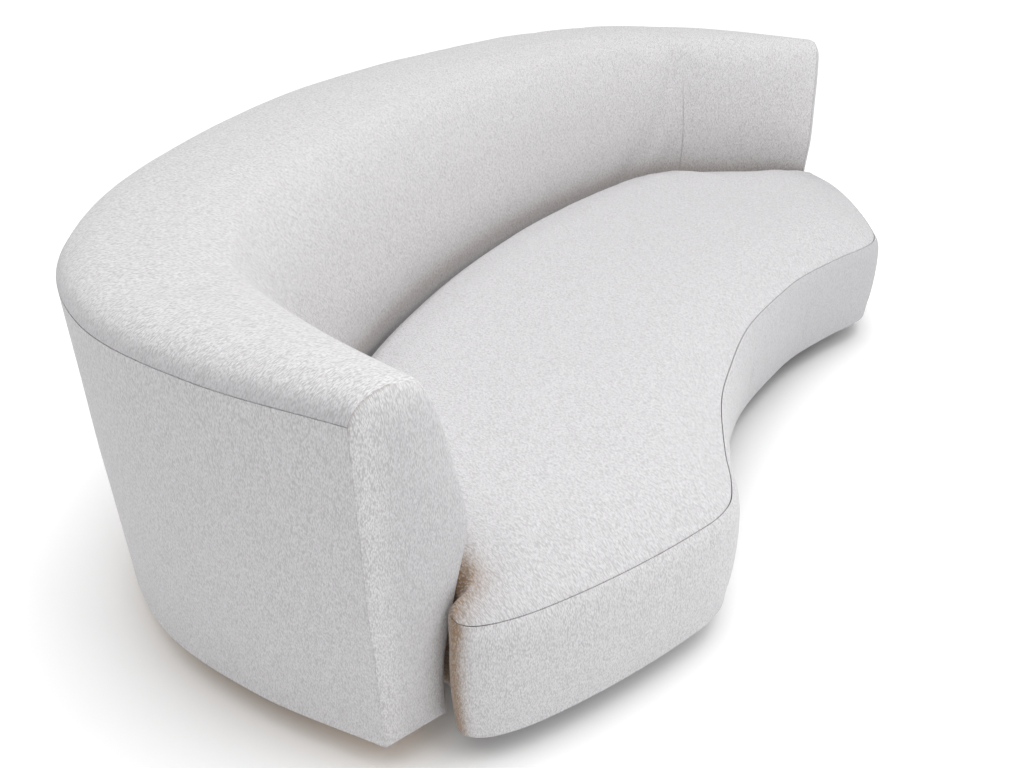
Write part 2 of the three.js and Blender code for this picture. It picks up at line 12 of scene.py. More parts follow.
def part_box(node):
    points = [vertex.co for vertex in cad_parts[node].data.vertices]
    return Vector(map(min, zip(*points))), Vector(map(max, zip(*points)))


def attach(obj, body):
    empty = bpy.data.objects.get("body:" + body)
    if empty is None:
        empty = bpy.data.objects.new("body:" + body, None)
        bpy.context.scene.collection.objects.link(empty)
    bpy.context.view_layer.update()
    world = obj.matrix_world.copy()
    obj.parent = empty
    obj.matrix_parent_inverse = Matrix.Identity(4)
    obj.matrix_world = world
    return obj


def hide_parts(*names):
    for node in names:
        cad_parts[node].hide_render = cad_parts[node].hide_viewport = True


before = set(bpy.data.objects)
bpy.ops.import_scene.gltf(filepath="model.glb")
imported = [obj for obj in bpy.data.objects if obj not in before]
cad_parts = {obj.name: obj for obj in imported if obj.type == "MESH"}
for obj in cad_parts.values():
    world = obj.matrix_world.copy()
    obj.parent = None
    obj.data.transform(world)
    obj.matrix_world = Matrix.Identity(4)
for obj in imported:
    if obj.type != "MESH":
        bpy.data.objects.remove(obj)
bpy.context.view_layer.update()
scene = bpy.context.scene

# Sizes of the sofa, as its frame has them
half_length = 1.360
sofa_height = 0.768
back_reach = 1.103
seat_half_length = 1.272
crevice_reach = 0.561
lobe_reach = 0.470
hem_height = 0.067
seam_height = 0.317
seam_inset = 0.022
border_tuck = 0.009
border_thickness = 0.020
shoulder_share = 0.28
border_shoulder = 0.070
crown_rise = 0.052
crown_roll = 0.150
back_roll = 0.045
crown_power = 2.2
cover_thickness = 0.006
foam_thickness = 0.182
seat_gap = 0.007
end_width = 0.160
top_seam_drop = 0.049
crown_setback = 0.070
back_lean = 0.122
waist_step = 0.023
waist_height = 0.185
outer_tuck = 0.015
inner_cover = 0.008
outer_cover = 0.005
end_cap_thickness = 0.012
back_foam_depth = 0.040
ply = 0.018
top_plate_drop = 0.084
board = 0.003
touch = 0.0004
wall_stations = 36
left_joint_share = 5 / wall_stations
right_joint_share = 31 / wall_stations
middle_width = back_reach - crevice_reach
centre_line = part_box("outer_cover_centre")[1].y - back_reach  # where the plan curves' zero lies along Y

# Sizes that only the covers have
corner_rise = 0.008
corner_tightness = 0.75
notch_fill = 0.015
panel_gap = 0.001
end_round = 0.030
board_slack = 0.005
seam_width = 0.0035
weld_distance = 1e-5

# Plan curves of the right half, as shares of the reaches above
top_seam_shares = [(0, 1), (0.226, 0.974), (0.455, 0.915), (0.674, 0.82), (0.851, 0.665), (0.962, 0.454),
                   (1, 0.207), (0.997, -0.045)]
crevice_shares = [(0, 1), (0.256, 0.965), (0.497, 0.873), (0.694, 0.734), (0.79, 0.585), (0.845, 0.352),
                  (0.905, 0.06), (0.947, -0.21)]
lobe_shares = [(0, -0.629), (0.187, -0.677), (0.288, -0.726), (0.442, -0.87), (0.519, -0.96), (0.575, -1),
               (0.625, -0.986), (0.672, -0.94), (0.748, -0.85), (0.844, -0.716), (0.93, -0.572),
               (0.961, -0.504), (0.983, -0.44), (0.995, -0.374), (0.994, -0.319), (0.98, -0.279),
               (0.962, -0.279), (0.947, -0.294), (0.938, -0.277), (0.933, -0.223)]

# The inner face above the waist: its step back, its share of the lean, and its share of the sofa's height
face_corners = [(0.005, 0, 0.371), (-0.013, 0.04, 0.486), (-0.023, 0.22, 0.579), (-0.021, 0.45, 0.677),
                (-0.008, 0.7, 0.796), (0.005, 0.86, 0.866), (0.022, 1, 0.931), (0.046, 1.12, 0.98),
                (0.084, 1.3, 0.997)]

# The outer slope of the roll: in from the wall's outer edge, and down from its top
roll_corners = [(crown_setback, 0), (0.042, 0.004), (0.015, 0.020), (0, top_seam_drop)]

# How an arm's end is rounded, and how its padding stands out just above the seat
low_rounding = 0.25
full_rounding_from = 0.45
full_rounding_over = 0.20
rounding_fade = 0.06
end_swell = 0.010
swell_height = 0.46
swell_rise = 0.075
swell_length = 0.25


# Curves

curve_steps = 24
plan_steps = 2400


def curve_through(points, shares):
    """Places at the given shares of the length of a smooth curve through the points."""
    points = np.asarray(points, float)
    knots = np.vstack([2 * points[0] - points[1], points, 2 * points[-1] - points[-2]])
    t = np.linspace(0, 1, curve_steps, endpoint=False)[:, None]
    runs = []
    for a, b, c, d in zip(knots, knots[1:], knots[2:], knots[3:]):
        first, mid, last = (np.linalg.norm(q - p) ** 0.5 for p, q in ((a, b), (b, c), (c, d)))
        leaving = ((b - a) / first - (c - a) / (first + mid) + (c - b) / mid) * mid
        arriving = ((c - b) / mid - (d - b) / (mid + last) + (d - c) / last) * mid
        runs.append((2 * t**3 - 3 * t**2 + 1) * b + (t**3 - 2 * t**2 + t) * leaving
                    + (3 * t**2 - 2 * t**3) * c + (t**3 - t**2) * arriving)
    return along(np.vstack(runs + [points[-1:]]), shares)


def lengths_of(line):
    return np.concatenate([[0], np.cumsum(np.linalg.norm(np.diff(line, axis=0), axis=1))])


def along(line, shares):
    """Places at the given shares of a line's length."""
    reach = lengths_of(line)
    places = np.asarray(shares) * reach[-1]
    return np.column_stack([np.interp(places, reach, line[:, axis]) for axis in range(line.shape[1])])


def both_halves(shares, x_reach, front, back):
    right = [(x * x_reach, y * (front if y < 0 else back)) for x, y in shares]
    return [(-x, y) for x, y in reversed(right[1:])] + right


def closer_at_ends(count, length, gaps, start=True):
    """Shares from 0 to 1 for evenly spaced lines over a length, with extra lines at the given distances from
    both ends, or from the far end alone."""
    room_beside_extra = 1.3
    extra = [gap / length for gap in gaps]
    clear = extra[-1] * room_beside_extra
    inner = np.linspace(0, 1, count + 1)
    inner = inner[(inner > (clear if start else -1)) & (inner < 1 - clear)]
    return np.array(sorted({0.0, 1.0, *inner, *(extra if start else ()), *(1 - share for share in extra)}))


plan_shares = np.linspace(0, 1, plan_steps + 1)
crevice_plan = both_halves(crevice_shares, seat_half_length, crevice_reach, crevice_reach)
crevice_line = curve_through(crevice_plan, plan_shares)
top_seam_plan = both_halves(top_seam_shares, half_length, back_reach, back_reach)
top_seam_line = curve_through(top_seam_plan, plan_shares)
top_seam_length = lengths_of(top_seam_line)[-1]
wall_length = (lengths_of(crevice_line)[-1] + top_seam_length) / 2


def stations(shares):
    """The crevice points, the ways across to the outer top seam, and the widths, at shares of the wall."""
    inner = along(crevice_line, shares)
    across = along(top_seam_line, shares) - inner
    width = np.linalg.norm(across, axis=1)
    return inner, across / width[:, None], width


def in_place(inner, across, w, z):
    """Points of the wall: w out from the crevice line, z up."""
    plan = inner + across * np.asarray(w)[..., None]
    z = np.broadcast_to(z, plan.shape[:-1])
    return np.concatenate([plan, z[..., None]], axis=-1) + [0, centre_line, 0]


def lean_at(width):
    return back_lean * ((width - end_width) / (middle_width - end_width)) ** 2


def inner_outline(width, shares):
    corners = [(waist_step, hem_height), (waist_step, waist_height)]
    corners += [(step + share * lean_at(width), height * sofa_height) for step, share, height in face_corners]
    corners += [(width - back, sofa_height - down) for back, down in roll_corners]
    return curve_through(corners, shares)


def outer_outline(width, shares):
    corners = [(width, sofa_height - top_seam_drop - panel_gap), (width - outer_tuck / 3, sofa_height / 2),
               (width - outer_tuck, hem_height)]
    return along(np.array(corners), shares)


def smooth_step(x):
    x = np.clip(x, 0, 1)
    return x * x * (3 - 2 * x)


def near(distance, reach):
    """1 on a seam, fading to 0 over the reach beside it."""
    return np.exp(-(np.asarray(distance) / reach) ** 2)


def drawn_by(distance):
    """How far a rounded end's edge is drawn in, at a distance from the end of the arm."""
    past = np.clip(1 - (distance + end_cap_thickness) / end_round, 0, 1)
    return end_round * (1 - np.sqrt(1 - past**2))


def near_end(skin, distance):
    """The wall's section at a distance from an arm's end: its top is drawn in to round the end's edge, and
    its padding stands out a little just above the seat."""
    step = np.gradient(skin, axis=0)
    step /= np.linalg.norm(step, axis=1)[:, None]
    from_seam = lengths_of(skin[::-1])[::-1]
    z = skin[:, 1]
    rounding = low_rounding + (1 - low_rounding) * smooth_step((z - full_rounding_from) / full_rounding_over)
    rounding = drawn_by(distance) * rounding * smooth_step(from_seam / rounding_fade)
    swelling = end_swell * near(z - swell_height, swell_rise) * near(distance, swell_length)
    amount = rounding - swelling * (skin[:, 0] < end_width / 2)
    return skin + np.column_stack([step[:, 1], -step[:, 0]]) * amount[:, None]


# Pieces of cloth and padding

def distance_to(line, points):
    """Least distance from each point to a line."""
    batches = 40
    a, b = line[:-1], line[1:]
    side = b - a
    square = (side**2).sum(1)
    found = []
    for batch in np.array_split(points, batches):
        way = batch[:, None] - a[None]
        t = np.clip((way * side).sum(-1) / square, 0, 1)
        found.append(np.min(np.linalg.norm(way - side * t[..., None], axis=-1), axis=1))
    return np.concatenate(found)


def woven(name, points, weave, held, seam, close_ends=False, crisp_rows=()):
    """A cloth piece laid out as a table of places, along by across. weave gives the cloth's own measure at
    each place, held says where it is sewn or hidden, and seam how near a seam it is. Smoothing leaves
    crisp_rows sharp."""
    columns, rows = points.shape[:2]
    bm = bmesh.new()
    bmesh.ops.create_grid(bm, x_segments=columns - 1, y_segments=rows - 1, size=0.5)
    cloth = bm.loops.layers.uv.new("cloth")
    sewn = bm.verts.layers.float.new("sewn")
    by_seam = bm.verts.layers.float.new("seam")
    crisp = bm.edges.layers.float.new("crease_edge")
    bm.verts.ensure_lookup_table()
    place = {vert: (round((vert.co.x + 0.5) * (columns - 1)), round((vert.co.y + 0.5) * (rows - 1)))
             for vert in bm.verts}
    for face in bm.faces:
        for loop in face.loops:
            loop[cloth].uv = weave[place[loop.vert]]
    for edge in bm.edges:
        edge_rows = {place[vert][1] for vert in edge.verts}
        if len(edge_rows) == 1 and edge_rows <= set(crisp_rows):
            edge[crisp] = 1.0
    for vert, spot in place.items():
        vert.co = points[spot]
        vert[sewn] = held[spot]
        vert[by_seam] = seam[spot]
    bmesh.ops.remove_doubles(bm, verts=bm.verts[:], dist=weld_distance)
    if close_ends:
        for edge in (e for e in bm.edges if e.is_boundary):
            edge[crisp] = 1.0
            edge.smooth = False
        bmesh.ops.holes_fill(bm, edges=[e for e in bm.edges if e.is_boundary], sides=0)
        bmesh.ops.triangulate(bm, faces=[f for f in bm.faces if len(f.verts) > 4])
    bmesh.ops.recalc_face_normals(bm, faces=bm.faces[:])
    return finished(name, bm)


def finished(name, bm):
    mesh = bpy.data.meshes.new(name)
    bm.to_mesh(mesh)
    bm.free()
    mesh.shade_smooth()
    piece = bpy.data.objects.new(name, mesh)
    scene.collection.objects.link(piece)
    return piece


def read_points(mesh, what):
    """The place or the normal of each of a mesh's points."""
    table = np.zeros(len(mesh.vertices) * 3, np.float32)
    mesh.vertices.foreach_get(what, table)
    return table.reshape(-1, 3).astype(float)


def places_of(mesh):
    return read_points(mesh, "co")


def put_places(mesh, table):
    mesh.vertices.foreach_set("co", np.asarray(table, np.float32).ravel())
    mesh.update()


def layer_of(mesh, name):
    table = np.zeros(len(mesh.vertices), np.float32)
    mesh.attributes[name].data.foreach_get("value", table)
    return table.astype(float)


def marked(piece, name, values):
    """Gives each point a value of its own, or all of them one value."""
    layer = piece.data.attributes.new(name, "FLOAT", "POINT")
    layer.data.foreach_set("value", np.full(len(piece.data.vertices), values, np.float32))


def stuffed(piece, pressure, most):
    """Blows a cover up with cloth simulation. Seams and hidden sides are pinned, and no point goes further
    than most."""
    first_frame, last_frame = 1, 20
    pin_steps = (0.25, 0.5, 0.75, 1.0)
    held = layer_of(piece.data, "sewn")
    group = piece.vertex_groups.new(name="sewn")
    for amount in pin_steps:
        near_amount = np.nonzero(np.abs(held - amount) <= pin_steps[0] / 2)[0]
        group.add(near_amount.tolist(), amount, "REPLACE")
    rest = places_of(piece.data)
    cloth = piece.modifiers.new("stuffing", "CLOTH")
    cloth.settings.quality = 4
    cloth.settings.mass = 0.4
    cloth.settings.tension_stiffness = 20
    cloth.settings.compression_stiffness = 20
    cloth.settings.shear_stiffness = 8
    cloth.settings.bending_stiffness = 2
    cloth.settings.air_damping = 3
    cloth.settings.use_pressure = True
    cloth.settings.uniform_pressure_force = pressure
    cloth.settings.effector_weights.gravity = 0
    cloth.settings.vertex_group_mass = "sewn"
    cloth.collision_settings.use_collision = False
    cloth.point_cache.frame_start = first_frame
    cloth.point_cache.frame_end = last_frame
    for step in range(first_frame, last_frame + 1):
        scene.frame_set(step)
    blown = piece.evaluated_get(bpy.context.evaluated_depsgraph_get())
    shift = places_of(blown.data) - rest
    piece.modifiers.remove(cloth)
    piece.vertex_groups.clear()
    scene.frame_set(first_frame)
    least = 1e-9
    size = np.maximum(np.linalg.norm(shift, axis=1), least)
    put_places(piece.data, rest + shift * (most * np.tanh(size / most) / size)[:, None])


def settled(piece, unevenness, grain, groove):
    """Gives a cover its slight unevenness, and pulls it in along its seams."""
    finer, weaker = 2.3, 0.4
    mesh = piece.data
    points, normals = places_of(mesh), read_points(mesh, "normal")
    free = 1 - layer_of(mesh, "sewn")
    seam = layer_of(mesh, "seam")
    lift = np.array([noise.noise(point / grain) + weaker * noise.noise(point * finer / grain)
                     for point in map(Vector, points)])
    put_places(mesh, points + normals * (unevenness * lift * free * (1 - seam) - groove * seam)[:, None])


def dress(piece, finish, levels=1):
    piece.data.materials.clear()
    piece.data.materials.append(finish)
    if levels:
        smoothing = piece.modifiers.new("smoothing", "SUBSURF")
        smoothing.levels = smoothing.render_levels = levels
    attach(piece, "root")


# Finishes

class Amount:
    """A number that changes over a surface, with the usual sums."""

    def __init__(self, finish, socket):
        self.finish = finish
        self.socket = socket

    def sum(self, operation, *others):
        return self.finish.node("Math", {"operation": operation}, dict(enumerate(others)))

    def __add__(self, other):
        return self.sum("ADD", self, other)

    def __radd__(self, other):
        return self.sum("ADD", other, self)

    def __sub__(self, other):
        return self.sum("SUBTRACT", self, other)

    def __rsub__(self, other):
        return self.sum("SUBTRACT", other, self)

    def __mul__(self, other):
        return self.sum("MULTIPLY", self, other)

    def __rmul__(self, other):
        return self.sum("MULTIPLY", other, self)

    def __truediv__(self, other):
        return self.sum("DIVIDE", self, other)

    def __rtruediv__(self, other):
        return self.sum("DIVIDE", other, self)

    def __pow__(self, other):
        return self.sum("POWER", self, other)

    def clamped(self):
        return self.finish.node("Clamp", {}, {0: self})

    def sine(self):
        return self.sum("SINE", self)


class Finish:
    """A material made of nodes on one Principled shader."""

    def __init__(self, name, **constants):
        self.material = bpy.data.materials.new(name)
        self.material.use_nodes = True
        self.tree = self.material.node_tree
        self.shader = self.tree.nodes["Principled BSDF"]
        for socket, value in constants.items():
            self.shader.inputs[socket.replace("_", " ")].default_value = value

    def node(self, kind, settings, sockets, out=0):
        made = self.tree.nodes.new("ShaderNode" + kind)
        for name, value in settings.items():
            setattr(made, name, value)
        for socket, value in sockets.items():
            if isinstance(value, Amount):
                self.tree.links.new(value.socket, made.inputs[socket])
            else:
                made.inputs[socket].default_value = value
        return Amount(self, made.outputs[out])

    def feed(self, socket, value):
        self.tree.links.new(value.socket, self.shader.inputs[socket])

    def place(self):
        """Object coordinates."""
        return self.node("TexCoord", {}, {}, 3)

    def part(self, vector, axis):
        """One of the three numbers of a place, way or colour."""
        return self.node("SeparateXYZ", {}, {0: vector}, axis)

    def layer(self, name):
        """What the piece's points are marked with under this name."""
        return self.node("Attribute", {"attribute_name": name}, {}, 2)

    def blend(self, factor, first, second):
        """A colour that goes from first to second."""
        pick = {"Factor": factor, 6: first, 7: second}
        return self.node("Mix", {"data_type": "RGBA", "clamp_factor": True}, pick, 2)

    def grain(self, where, scale, detail=2.0, roughness=0.5):
        sockets = {"Vector": where, "Scale": scale, "Detail": detail, "Roughness": roughness}
        return self.node("TexNoise", {}, sockets)

    def stretched(self, where, x, y, z):
        return self.node("VectorMath", {"operation": "MULTIPLY"}, {0: where, 1: (x, y, z)})

    def bump(self, height, depth, strength=1.0):
        return self.node("Bump", {}, {"Height": height, "Distance": depth, "Strength": strength})


def rgb(red, green, blue):
    """A colour as the screen shows it, made linear and opaque."""
    linear = [((c / 255 + 0.055) / 1.055) ** 2.4 if c > 10 else c / 255 / 12.92 for c in (red, green, blue)]
    return (*linear, 1)


def chenille_finish():
    """Ivory chenille: short plump ribs along the cloth, of uneven length, with a soft pile."""
    rib_width, rib_length = 0.0017, 0.0058
    rib_depth = 0.0011
    drift_amount = 0.0022
    light, hollow, cloudy = rgb(241, 240, 242), rgb(183, 181, 181), rgb(221, 219, 220)
    # The last two colours are painted shade and painted warm shade
    sewn_dark, painted_shade_colour, painted_warm_shade = rgb(150, 140, 130), rgb(170, 169, 173), rgb(146, 119, 92)
    cloth = Finish("ivory_chenille", Roughness=0.92, Sheen_Weight=0.25, Sheen_Roughness=0.55,
                   Specular_IOR_Level=0.2)
    where = cloth.node("UVMap", {"uv_map": "cloth"}, {})
    wander = cloth.node("TexNoise", {}, {"Vector": where, "Scale": 60.0, "Detail": 1.0}, 1)
    drift = cloth.node("VectorMath", {"operation": "SCALE"}, {0: wander, "Scale": drift_amount})
    moved = cloth.node("VectorMath", {"operation": "ADD"}, {0: where, 1: drift})
    lengthwise = cloth.stretched(moved, 1 / rib_width, 1 / rib_length, 0)
    plump = {"Vector": lengthwise, "Scale": 1.0, "Smoothness": 0.3, "Randomness": 0.95}
    slubs = cloth.node("TexVoronoi", {"feature": "SMOOTH_F1"}, plump)
    each = {"Vector": lengthwise, "Scale": 1.0, "Randomness": 0.95}
    tone = cloth.part(cloth.node("TexVoronoi", {"feature": "F1"}, each, 1), 0)
    pile = cloth.grain(cloth.stretched(where, 1, 0.45, 0), 900.0, 2.0, 0.6)
    ribs = (1.0 - slubs * 1.25).clamped()
    mottle = cloth.grain(where, 26.0, 3.0, 0.55)
    body = cloth.blend((ribs * 1.05 + tone * 0.12 + pile * 0.2).clamped(), hollow, light)
    body = cloth.blend((mottle - 0.5) * 0.5, body, cloudy)
    body = cloth.blend((cloth.layer("seam") ** 2.0) * 0.45, body, sewn_dark)
    # Painted shade, then painted warm shade, where the pieces are marked with them
    body = cloth.blend(cloth.layer("shade") * 0.75, body, painted_shade_colour)
    body = cloth.blend(cloth.layer("painted_warm_shade") * (0.7 - ribs * 0.45), body, painted_warm_shade)
    cloth.feed("Base Color", body)
    cloth.feed("Normal", cloth.bump(ribs + pile * 0.35, rib_depth, 0.8))
    return cloth.material


def wood_finish(name, light, dark, along_z, roughness):
    """Straight-grained wood, its grain along X or up Z."""
    wood = Finish(name, Roughness=roughness)
    where = wood.place()
    grain = wood.stretched(where, *((60, 60, 4) if along_z else (4, 60, 60)))
    rings = wood.grain(grain, 1.0, 4.0, 0.55)
    pores = wood.grain(wood.stretched(where, *((900, 900, 30) if along_z else (30, 900, 900))), 1.0, 1.0)
    tone = (rings * 0.8 + pores * 0.35 - 0.05).clamped()
    wood.feed("Base Color", wood.blend(tone, dark, light))
    wood.feed("Roughness", roughness - 0.15 + pores * 0.25)
    wood.feed("Normal", wood.bump(pores + rings * 0.5, 0.0003, 0.5))
    return wood.material


def plywood_finish():
    """Birch plywood: pale faces, and edges that show the plies."""
    veneer_pair = 0.0028
    wood = Finish("birch_plywood", Roughness=0.6)
    where = wood.place()
    wavy = wood.grain(wood.stretched(where, 5, 40, 8), 1.0, 4.0)
    fine = wood.grain(wood.stretched(where, 40, 700, 90), 1.0, 1.0)
    up = wood.part(wood.node("NewGeometry", {}, {}, 1), 2)
    plies = (wood.part(where, 2) * (2 * math.pi / veneer_pair)).sine() * 0.5 + 0.5
    edge = 1.0 - (up * up).clamped()
    tone = (wavy * 0.7 + fine * 0.35 - plies * edge * 0.35).clamped()
    wood.feed("Base Color", wood.blend(tone, rgb(150, 112, 70), rgb(219, 188, 143)))
    wood.feed("Normal", wood.bump(fine + plies * edge, 0.0003, 0.4))
    return wood.material


def hardboard_finish():
    wood = Finish("hardboard", Roughness=0.75)
    where = wood.place()
    flecks = wood.grain(where, 700.0, 3.0, 0.7)
    cloudy = wood.grain(where, 18.0, 2.0)
    tone = (flecks * 0.8 + cloudy * 0.4 - 0.2).clamped()
    wood.feed("Base Color", wood.blend(tone, rgb(84, 58, 38), rgb(142, 106, 74)))
    wood.feed("Normal", wood.bump(flecks, 0.0002, 0.5))
    return wood.material


def zinc_finish():
    metal = Finish("zinc_plated_steel", Roughness=0.35, Metallic=1.0)
    where = metal.place()
    spangle = metal.part(metal.node("TexVoronoi", {}, {"Vector": where, "Scale": 240.0}, 1), 0)
    scuffs = metal.grain(metal.stretched(where, 40, 900, 900), 1.0, 2.0)
    tone = (spangle * 0.5 + scuffs * 0.5).clamped()
    metal.feed("Base Color", metal.blend(tone, rgb(140, 143, 146), rgb(196, 198, 198)))
    metal.feed("Roughness", 0.25 + scuffs * 0.3)
    return metal.material


def nylon_finish():
    plastic = Finish("black_nylon", Roughness=0.5)
    mould = plastic.grain(plastic.place(), 800.0, 2.0)
    plastic.feed("Base Color", plastic.blend(mould, rgb(24, 24, 25), rgb(46, 46, 47)))
    plastic.feed("Roughness", 0.4 + mould * 0.25)
    plastic.feed("Normal", plastic.bump(mould, 0.0001, 0.5))
    return plastic.material


def dust_cloth_finish():
    """Black bonded cloth, pressed in a grid of small points."""
    point_gap = 0.0012
    cloth = Finish("dust_cloth", Roughness=0.95)
    where = cloth.place()
    waves = [(cloth.part(where, axis) * (math.pi / point_gap)).sine() for axis in (0, 1)]
    points = (waves[0] * waves[1]) * 0.5 + 0.5
    fibres = cloth.grain(where, 600.0, 3.0, 0.7)
    tone = (points * 0.5 + fibres * 0.6 - 0.1).clamped()
    cloth.feed("Base Color", cloth.blend(tone, rgb(20, 20, 21), rgb(58, 57, 57)))
    cloth.feed("Normal", cloth.bump(points + fibres, 0.0003, 0.6))
    return cloth.material


def thread_finish():
    thread = Finish("sewing_thread", Roughness=0.7)
    twist = thread.grain(thread.place(), 2500.0, 1.0)
    thread.feed("Base Color", thread.blend(twist, rgb(150, 140, 128), rgb(206, 198, 188)))
    thread.feed("Normal", thread.bump(twist, 0.0002, 0.5))
    return thread.material


def floor_finish():
    """Almost white, and faintly bright by itself except under the sofa, where the missing glow paints a soft
    shadow that fades out round the sofa.
    """
    floor = Finish("pale_floor", Roughness=0.9, Specular_IOR_Level=0.1, Emission_Strength=0.25)
    where = floor.place()
    faint = floor.grain(where, 1.5, 2.0)
    floor.feed("Base Color", floor.blend(faint, (0.90, 0.90, 0.90, 1), (0.92, 0.92, 0.92, 1)))
    # The glow is off under the sofa and fades in round it: a painted soft shadow
    long_square, deep_square, dark_until = 1.7, 0.55, 0.8
    x, y = floor.part(where, 0), floor.part(where, 1)
    outside = (x * x / long_square + y * y / deep_square - dark_until).clamped()
    floor.feed("Emission Color", floor.blend(outside, (0, 0, 0, 1), (1, 1, 1, 1)))
    return floor.material


chenille = chenille_finish()


# The back wall's covers

joint_shares = [0, left_joint_share, right_joint_share, 1]
wall_lines = 190
seam_lines = [0.0015, 0.004, 0.008, 0.013, 0.018, 0.024]

# The painted warm shade in the crevice: how strong, at what height, and over how much of it
crevice_warm_shade = [(0.45, 0.345, 0.03), (0.14, 0.40, 0.18)]


def wall_shares(first, last):
    length = (last - first) * top_seam_length
    count = round(wall_lines * (last - first))
    return first + (last - first) * closer_at_ends(count, length, seam_lines)


def inner_padding(place, first, last):
    """The inner face and the roll over the top, with the foam behind them."""
    joint_top, joint_fade, joint_darkness, top_darkness = 0.70, 0.15, 0.6, 0.35
    seat_hides_below = 0.300
    held_by_joint, held_by_top = 0.030, 0.007
    shade_strength, shade_reach, shade_above = 0.6, 0.014, 0.6
    shares = wall_shares(first, last)
    inner, across, width = stations(shares)
    rows = closer_at_ends(count=64, length=1.1, gaps=seam_lines, start=False)
    from_arm_end = np.minimum(shares, 1 - shares) * wall_length
    skin = np.array([near_end(inner_outline(w, rows), d) for w, d in zip(width, from_arm_end)])
    hidden = np.array([foam_back(w) for w in width])
    loop = np.concatenate([skin, hidden, skin[:, :1]], axis=1)
    points = in_place(inner[:, None], across[:, None], loop[..., 0], loop[..., 1])
    middle = (shares - 0.5) * wall_length
    travel = np.array([lengths_of(run) for run in loop])
    weave = np.stack([np.broadcast_to(middle[:, None], travel.shape), travel], axis=-1)
    from_ends = np.minimum(shares - first, last - shares)[:, None] * top_seam_length
    from_top = np.abs(travel[:, len(rows) - 1][:, None] - travel)
    low_down = smooth_step((joint_top - loop[..., 1]) / joint_fade)
    at_joint = joint_darkness * low_down * near(from_ends, seam_width)
    seam = np.maximum(at_joint, top_darkness * near(from_top, seam_width))
    on_skin = (np.arange(loop.shape[1]) < len(rows))[None, :]
    free = on_skin & (loop[..., 1] >= seat_hides_below)
    held = np.where(free, np.maximum(near(from_ends, held_by_joint), near(from_top, held_by_top)), 1.0)
    held[0, :] = held[-1, :] = 1
    piece = woven(f"inner_padding_{place}", points, weave, held, np.where(on_skin, seam, 0), close_ends=True,
                  crisp_rows=range(len(rows), loop.shape[1] - 1))
    stuffed(piece, pressure=3.0, most=0.006)
    settled(piece, unevenness=0.0018, grain=0.24, groove=0.0010)
    places = places_of(piece.data)
    height = places[:, 2]
    # Painted warm shade low in the crevice, and painted shade on the roll by the outer top seam
    warm_shade_amount = sum(strength * near(height - level, reach) for strength, level, reach in crevice_warm_shade)
    marked(piece, "painted_warm_shade", warm_shade_amount)
    from_top_seam = distance_to(top_seam_line, places[:, :2] - [0, centre_line])
    marked(piece, "shade", shade_strength * near(from_top_seam, shade_reach) * (height > shade_above))
    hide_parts(f"inner_cover_{place}", f"back_foam_{place}")
    dress(piece, chenille)


rib_setback = 0.009
rib_step = waist_step + inner_cover + rib_setback + board + touch
bend_height = seam_height + inner_cover
top_plate_top = sofa_height - top_plate_drop
rib_top = top_plate_top - ply
rib_top_step = waist_step + inner_cover + back_foam_depth - waist_step / 2


def foam_back(width):
    """The hidden side of the padding, from the outer top seam back down to the hem."""
    tuck_in, tuck_down, slope_down = 0.0062, 0.012, 0.030
    plate_inner = rib_top_step + lean_at(width) - board - board_slack
    plate_outer = width - outer_cover - board - 2 * touch - outer_tuck / 6
    foot = rib_step - board - board_slack
    seam_z = sofa_height - top_seam_drop
    return [(width - tuck_in, seam_z - tuck_down), (plate_outer, seam_z - slope_down),
            (plate_outer, top_plate_top + touch), (plate_inner, top_plate_top + touch),
            (plate_inner, rib_top), (foot, bend_height), (foot, hem_height)]


def outside_panel(place, first, last):
    """The upright panel of the outside, from the top seam to the hem."""
    joint_darkness, top_darkness, held_by_seam, shade = 0.2, 0.3, 0.012, 0.27
    rows_per_hidden_row = 6
    shares = wall_shares(first, last)
    inner, across, width = stations(shares)
    rows = closer_at_ends(count=26, length=0.65, gaps=seam_lines)
    skin = np.array([outer_outline(w, rows) for w in width])
    hidden = skin[:, ::rows_per_hidden_row][:, ::-1] - [outer_cover, 0]
    hidden[:, -1, 1] -= inner_cover
    loop = np.concatenate([skin, hidden, skin[:, :1]], axis=1)
    points = in_place(inner[:, None], across[:, None], loop[..., 0], loop[..., 1])
    travel = np.array([lengths_of(run) for run in loop])
    middle = (shares - 0.5) * top_seam_length
    weave = np.stack([np.broadcast_to(middle[:, None], travel.shape), travel], axis=-1)
    from_ends = np.minimum(shares - first, last - shares)[:, None] * top_seam_length
    from_hem = np.abs(travel[:, len(rows) - 1][:, None] - travel)
    from_seam = np.minimum(np.minimum(from_ends, travel), from_hem)
    on_skin = (np.arange(loop.shape[1]) < len(rows))[None, :]
    seam = np.maximum(joint_darkness * near(from_ends, seam_width), top_darkness * near(travel, seam_width))
    held = np.where(on_skin, near(from_seam, held_by_seam), 1.0)
    held[0, :] = held[-1, :] = 1
    piece = woven(f"outside_panel_{place}", points, weave, held, np.where(on_skin, seam, 0), close_ends=True)
    settled(piece, unevenness=0.0012, grain=0.30, groove=0.0008)
    marked(piece, "shade", shade)
    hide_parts(f"outer_cover_{place}")
    dress(piece, chenille, levels=0)


for place, first, last in zip(("left_arm", "centre", "right_arm"), joint_shares, joint_shares[1:]):
    inner_padding(place, first, last)
    outside_panel(place, first, last)


# The ends of the arms

rim_lines = [0.002, 0.005, 0.009, 0.014, 0.020]
backing_thickness = 0.0012


def sharpen_rim(piece):
    bm = bmesh.new()
    bm.from_mesh(piece.data)
    for edge in bm.edges:
        edge.smooth = not edge.is_boundary
    bm.to_mesh(piece.data)
    bm.free()


